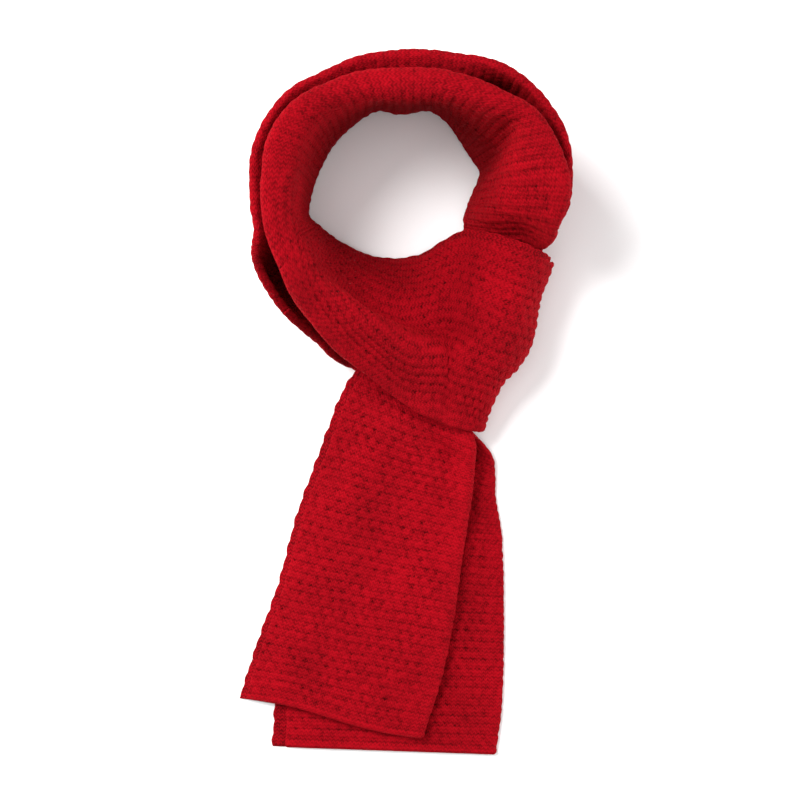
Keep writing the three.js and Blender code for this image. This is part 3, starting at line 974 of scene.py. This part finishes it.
def add_node(
    tree: bpy.types.NodeTree, kind: str, settings: dict | None = None, links: dict | None = None
) -> bpy.types.Node:
    """Adds a node to a material.

    Args:
        tree: the material's nodes.
        kind: the node's type.
        settings: its properties by name, and its sockets' values by number or name.
        links: for each input socket, the output socket that feeds it.

    Returns:
        The node.
    """
    node = tree.nodes.new(kind)
    for key, value in (settings or {}).items():
        if isinstance(key, str) and hasattr(node, key):
            setattr(node, key, value)
        else:
            node.inputs[key].default_value = value
    for key, source in (links or {}).items():
        tree.links.new(source, node.inputs[key])
    return node


@dataclass(frozen=True)
class BrushedWool:
    """Brushed lambswool knit: matt, with a soft nap that lights up at grazing angles, and painted shade in the
    stitch gaps.

    Args:
        deep: painted shade colour, for the stitch gaps and the layers' hidden faces.
        body: colour of the knit.
        nap: pale red of the raised stitches and nap tufts, partly a painted highlight and partly random nap
            tone.
        wale: width of one fine stitch in metres.
        course: height of one fine stitch in metres.
        fibre_scale, tuft_scale, patch_scale: cells in a metre of the nap's three patterns.
    """

    deep: str = "#240001"
    body: str = "#7A020C"
    nap: str = "#9A0614"
    wale: float = 0.0030
    course: float = 0.0026
    fibre_scale: float = 620.0
    tuft_scale: float = 240.0
    patch_scale: float = 28.0

    def stitches(self, tree: bpy.types.NodeTree) -> bpy.types.NodeSocket:
        """Height of the fine V stitches, from 0 to 1, on the flat cloth."""
        flat = add_node(tree, "ShaderNodeUVMap", {"uv_map": "flat_cloth"})
        cut = add_node(tree, "ShaderNodeSeparateXYZ", links={0: flat.outputs[0]})
        maths = "ShaderNodeMath"
        across = add_node(tree, maths, {"operation": "MULTIPLY", 1: 1 / self.wale}, {0: cut.outputs[0]})
        along = add_node(tree, maths, {"operation": "MULTIPLY", 1: 1 / self.course}, {0: cut.outputs[1]})
        middle = add_node(tree, maths, {"operation": "PINGPONG", 1: 0.5}, {0: across.outputs[0]})
        lean = {"operation": "MULTIPLY_ADD", 1: 1.3}
        slant = add_node(tree, maths, lean, {0: middle.outputs[0], 2: along.outputs[0]})
        turns = {"operation": "MULTIPLY", 1: 2 * math.pi}
        wave = add_node(tree, maths, turns, {0: slant.outputs[0]})
        wave = add_node(tree, maths, {"operation": "SINE"}, {0: wave.outputs[0]})
        rib = add_node(tree, maths, turns, {0: middle.outputs[0]})
        rib = add_node(tree, maths, {"operation": "SINE"}, {0: rib.outputs[0]})
        wave = add_node(tree, maths, {"operation": "MULTIPLY_ADD", 1: 0.5, 2: 0.5}, {0: wave.outputs[0]})
        rib = add_node(tree, maths, {"operation": "MULTIPLY_ADD", 1: 0.6, 2: 0.4}, {0: rib.outputs[0]})
        both = add_node(tree, maths, {"operation": "MULTIPLY"}, {0: wave.outputs[0], 1: rib.outputs[0]})
        return both.outputs[0]

    def build(self) -> bpy.types.Material:
        """Makes the material."""
        # Brushed lambswool: matt all over, with painted shade in the stitch gaps and on the hidden faces, and
        # pale red on the raised stitches and tufts that is partly a painted highlight.
        material = bpy.data.materials.new("brushed_wool_knit")
        material.use_nodes = True
        tree = material.node_tree
        tree.nodes.clear()
        place = add_node(tree, "ShaderNodeTexCoord").outputs["Object"]
        stitches = self.stitches(tree)
        # Nap in tufts of about 1.5 mm and 4 mm, and broad patches where the brushing lies another way.
        noise = "ShaderNodeTexNoise"
        at = {"Vector": place}
        fine = add_node(tree, noise, {"Scale": self.fibre_scale, "Detail": 3.0}, at).outputs[0]
        tufts = add_node(tree, noise, {"Scale": self.tuft_scale, "Detail": 2.0}, at).outputs[0]
        patches = add_node(tree, noise, {"Scale": self.patch_scale, "Detail": 2.0}, at).outputs[0]
        height = add_node(tree, "ShaderNodeAttribute", {"attribute_name": "stitch_shade_height"}).outputs["Fac"]
        # Painted shade: the knit goes towards the deep colour where the stitch lies low, in the gaps, dashes and
        # hem line, and on the layers' hidden faces, and a little more where the fine grain is low.
        open_face = add_node(
            tree, "ShaderNodeMapRange", {1: -1.1, 2: 0.3, 3: 0.0, 4: 1.0}, {0: height}
        ).outputs[0]
        maths = "ShaderNodeMath"
        soft = add_node(tree, maths, {"operation": "MULTIPLY_ADD", 1: 0.7, 2: -0.17}, {0: fine}).outputs[0]
        grain = add_node(
            tree, maths, {"operation": "MULTIPLY_ADD", 1: 0.4}, {0: stitches, 2: soft}
        ).outputs[0]
        grain = add_node(tree, maths, {"operation": "MULTIPLY_ADD", 1: 0.6}, {0: tufts, 2: grain}).outputs[0]
        shade = add_node(tree, maths, {"operation": "MULTIPLY", 1: 0.35}, {0: grain}).outputs[0]
        shade = add_node(
            tree, maths, {"operation": "MULTIPLY_ADD", 1: 0.75}, {0: open_face, 2: shade}
        ).outputs[0]
        lit = add_node(
            tree, "ShaderNodeMix", {"data_type": "RGBA", 6: linear(self.deep), 7: linear(self.body)}, {0: shade}
        ).outputs[2]
        # Pale red on the raised stitches and tufts: partly a painted highlight on the tops, partly random nap
        # tone.
        nap_highlight = add_node(tree, "ShaderNodeMapRange", {1: 0.42, 2: 0.85, 3: 0.0, 4: 0.8}, {0: grain}).outputs[0]
        colour = add_node(
            tree, "ShaderNodeMix", {"data_type": "RGBA", 7: linear(self.nap)}, {0: nap_highlight, 6: lit}
        ).outputs[2]
        value = add_node(tree, "ShaderNodeMapRange", {1: 0.3, 2: 0.7, 3: 0.86, 4: 1.12}, {0: patches}).outputs[0]
        colour = add_node(tree, "ShaderNodeHueSaturation", links={"Value": value, "Color": colour}).outputs[0]
        bump = add_node(
            tree, "ShaderNodeBump", {"Strength": 0.7, "Distance": 0.0012}, {"Height": grain}
        ).outputs[0]
        cloth = add_node(
            tree,
            "ShaderNodeBsdfPrincipled",
            {
                "Roughness": 0.92,
                "IOR": 1.45,
                "Specular IOR Level": 0.06,
                "Sheen Weight": 0.22,
                "Sheen Roughness": 0.4,
                "Sheen Tint": linear("#FF1E28"),
            },
            {"Base Color": colour, "Normal": bump},
        )
        add_node(tree, "ShaderNodeOutputMaterial", links={0: cloth.outputs[0]})
        return material


@dataclass(frozen=True)
class PaleFloor:
    """The white sheet that the scarf lies on.

    Args:
        side: its side in metres.
        colour: its colour.
        below: how far under the scarf it lies, in metres.
    """

    side: float = 6.0
    colour: str = "#F4F4F4"
    below: float = 0.0002

    def build(self) -> None:
        """Adds the floor, just under the scarf."""
        bpy.ops.object.select_all(action="DESELECT")
        bpy.ops.mesh.primitive_plane_add(size=self.side, location=(0, 0, -self.below))
        floor = bpy.context.object
        floor.name = "floor"
        bpy.ops.object.transform_apply(location=True, rotation=True, scale=True)
        # Matt white paper: no shine, and bright enough that its edge is lost in white.
        paper = bpy.data.materials.new("matt_white_paper")
        paper.use_nodes = True
        shader = paper.node_tree.nodes["Principled BSDF"]
        shader.inputs["Base Color"].default_value = linear(self.colour)
        shader.inputs["Roughness"].default_value = 0.9
        shader.inputs["Specular IOR Level"].default_value = 0.1
        floor.data.materials.append(paper)


@dataclass(frozen=True)
class Softbox:
    """An area light that faces the scarf.

    Args:
        name: what it is.
        place: where it stands, in metres.
        side: its side in metres.
        power: its power in watts.
    """

    name: str
    place: tuple[float, float, float]
    side: float
    power: float

    def build(self) -> None:
        """Adds the light."""
        lamp = bpy.data.lights.new(self.name, "AREA")
        lamp.size = self.side
        lamp.energy = self.power
        light = bpy.data.objects.new(self.name, lamp)
        light.location = self.place
        towards = Vector((0.0, 0.0, 0.0)) - Vector(self.place)
        light.rotation_euler = towards.to_track_quat("-Z", "Y").to_euler()
        bpy.context.scene.collection.objects.link(light)


@dataclass(frozen=True)
class Studio:
    """Floor, lights and the camera straight above, at the photograph's angle.

    Args:
        height: the camera's height in metres.
        frame_width: what the picture is wide at the floor, in metres.
        fill: strength of the even light from all round.
    """

    height: float = 1.4
    frame_width: float = 0.576
    fill: float = 0.1
    softboxes: tuple[Softbox, ...] = (
        Softbox("overhead_softbox", (0.1, -0.1, 2.2), 1.8, 27.0),
        Softbox("key_softbox", (-0.85, 0.75, 1.6), 0.8, 46.0),
        Softbox("left_softbox", (-1.85, 0.3, 0.8), 1.0, 36.0),
        Softbox("right_softbox", (1.9, -0.4, 0.5), 1.0, 40.0),
    )

    def build(self) -> None:
        """Builds the studio."""
        PaleFloor().build()
        for softbox in self.softboxes:
            softbox.build()
        scene = bpy.context.scene
        world = bpy.data.worlds.new("white_studio")
        world.use_nodes = True
        world.node_tree.nodes["Background"].inputs["Color"].default_value = linear("#FFFFFF")
        world.node_tree.nodes["Background"].inputs["Strength"].default_value = self.fill
        scene.world = world
        scene.view_settings.view_transform = "Standard"
        lens = bpy.data.cameras.new("camera_above")
        lens.sensor_width = 36.0
        lens.lens = lens.sensor_width * self.height / self.frame_width
        camera = bpy.data.objects.new("camera_above", lens)
        camera.location = (-CENTRE[0] * MM, -CENTRE[1] * MM, self.height)
        scene.collection.objects.link(camera)
        scene.camera = camera


def main() -> None:
    """Loads the frame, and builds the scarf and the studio."""
    logging.basicConfig(level=logging.INFO, format="%(name)s: %(message)s")
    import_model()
    Studio().build()
    wool = BrushedWool().build()
    strip = LaidStrip()
    strip.lay()
    builder = StretchBuilder(strip)
    for spec in PIECES:
        builder.build(spec, wool)


if __name__ == "__main__":
    main()
